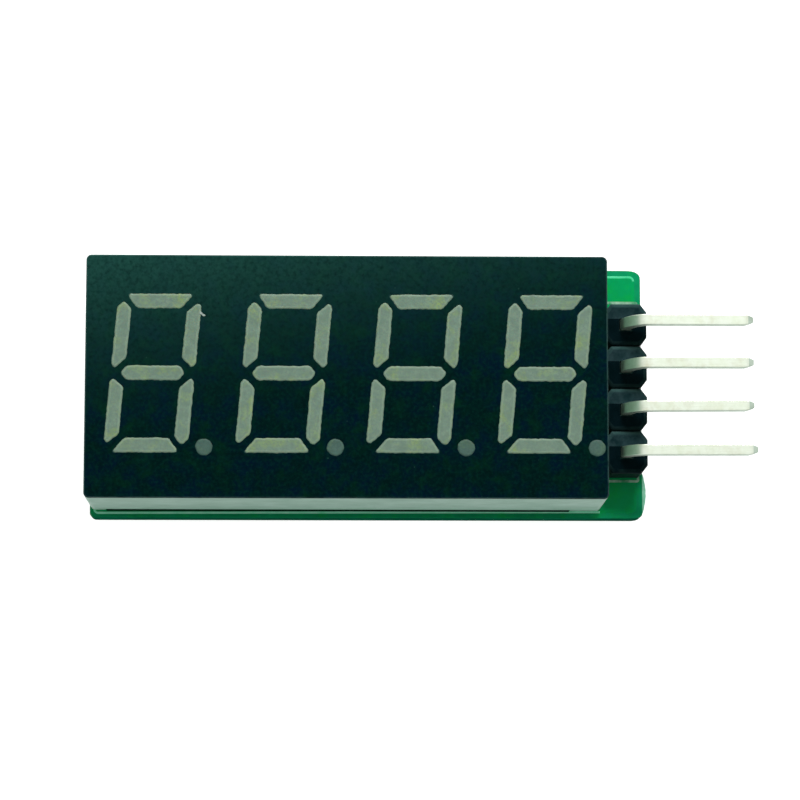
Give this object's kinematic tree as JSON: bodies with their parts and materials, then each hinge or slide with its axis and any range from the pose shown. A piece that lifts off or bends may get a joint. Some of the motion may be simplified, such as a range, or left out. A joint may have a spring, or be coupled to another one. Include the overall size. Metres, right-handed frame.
{
  "type": "seven segment display module",
  "caption": "Numeric display on a carrier board: slanted seven segment digits with decimal points behind a black face, and bent header pins at one end.",
  "frame": {"origin": "centre of the display's face", "axes": "+X along the row of digits towards the header pins, +Y towards the top of the digits, +Z out of the face"},
  "size_m": [0.0393, 0.015, 0.0107],
  "materials": {
    "housing": "moulded white plastic, fine grain",
    "face": "black printed layer, satin, faintly rough",
    "epoxy": "cloudy diffusing epoxy",
    "substrate": "bare glass epoxy board",
    "die": "sawn semiconductor",
    "tinned_pin": "drawn and tinned",
    "board": "green solder mask, glossy",
    "insulator": "moulded black plastic",
    "chip_plastic": "moulded black epoxy, fine grain",
    "lead": "tinned copper alloy",
    "resistor": "black glaze on white ceramic",
    "capacitor": "fired tan ceramic",
    "solder": "bright solder"
  },
  "bodies": {
    "root": {"reflector_housing": "housing", "face_mask": "face", "epoxy_fill": "epoxy", "inner_circuit_board": "substrate", "led_dice": "die", "display_pin_1": "tinned_pin", "display_pin_2": "tinned_pin", "display_pin_3": "tinned_pin", "display_pin_4": "tinned_pin", "display_pin_5": "tinned_pin", "display_pin_6": "tinned_pin", "display_pin_7": "tinned_pin", "display_pin_8": "tinned_pin", "display_pin_9": "tinned_pin", "display_pin_10": "tinned_pin", "display_pin_11": "tinned_pin", "display_pin_12": "tinned_pin", "carrier_board": "board", "header_insulator": "insulator", "header_pin_1": "tinned_pin", "header_pin_2": "tinned_pin", "header_pin_3": "tinned_pin", "header_pin_4": "tinned_pin", "driver_body": "chip_plastic", "driver_leads": "lead", "resistor_1": "resistor", "resistor_2": "resistor", "small_capacitor": "capacitor", "large_capacitor": "capacitor", "resistor_ends": "lead", "capacitor_ends": "lead", "display_pin_solder": "solder", "header_pin_solder": "solder", "driver_solder": "solder", "chip_solder": "solder"}
  },
  "joints": []
}
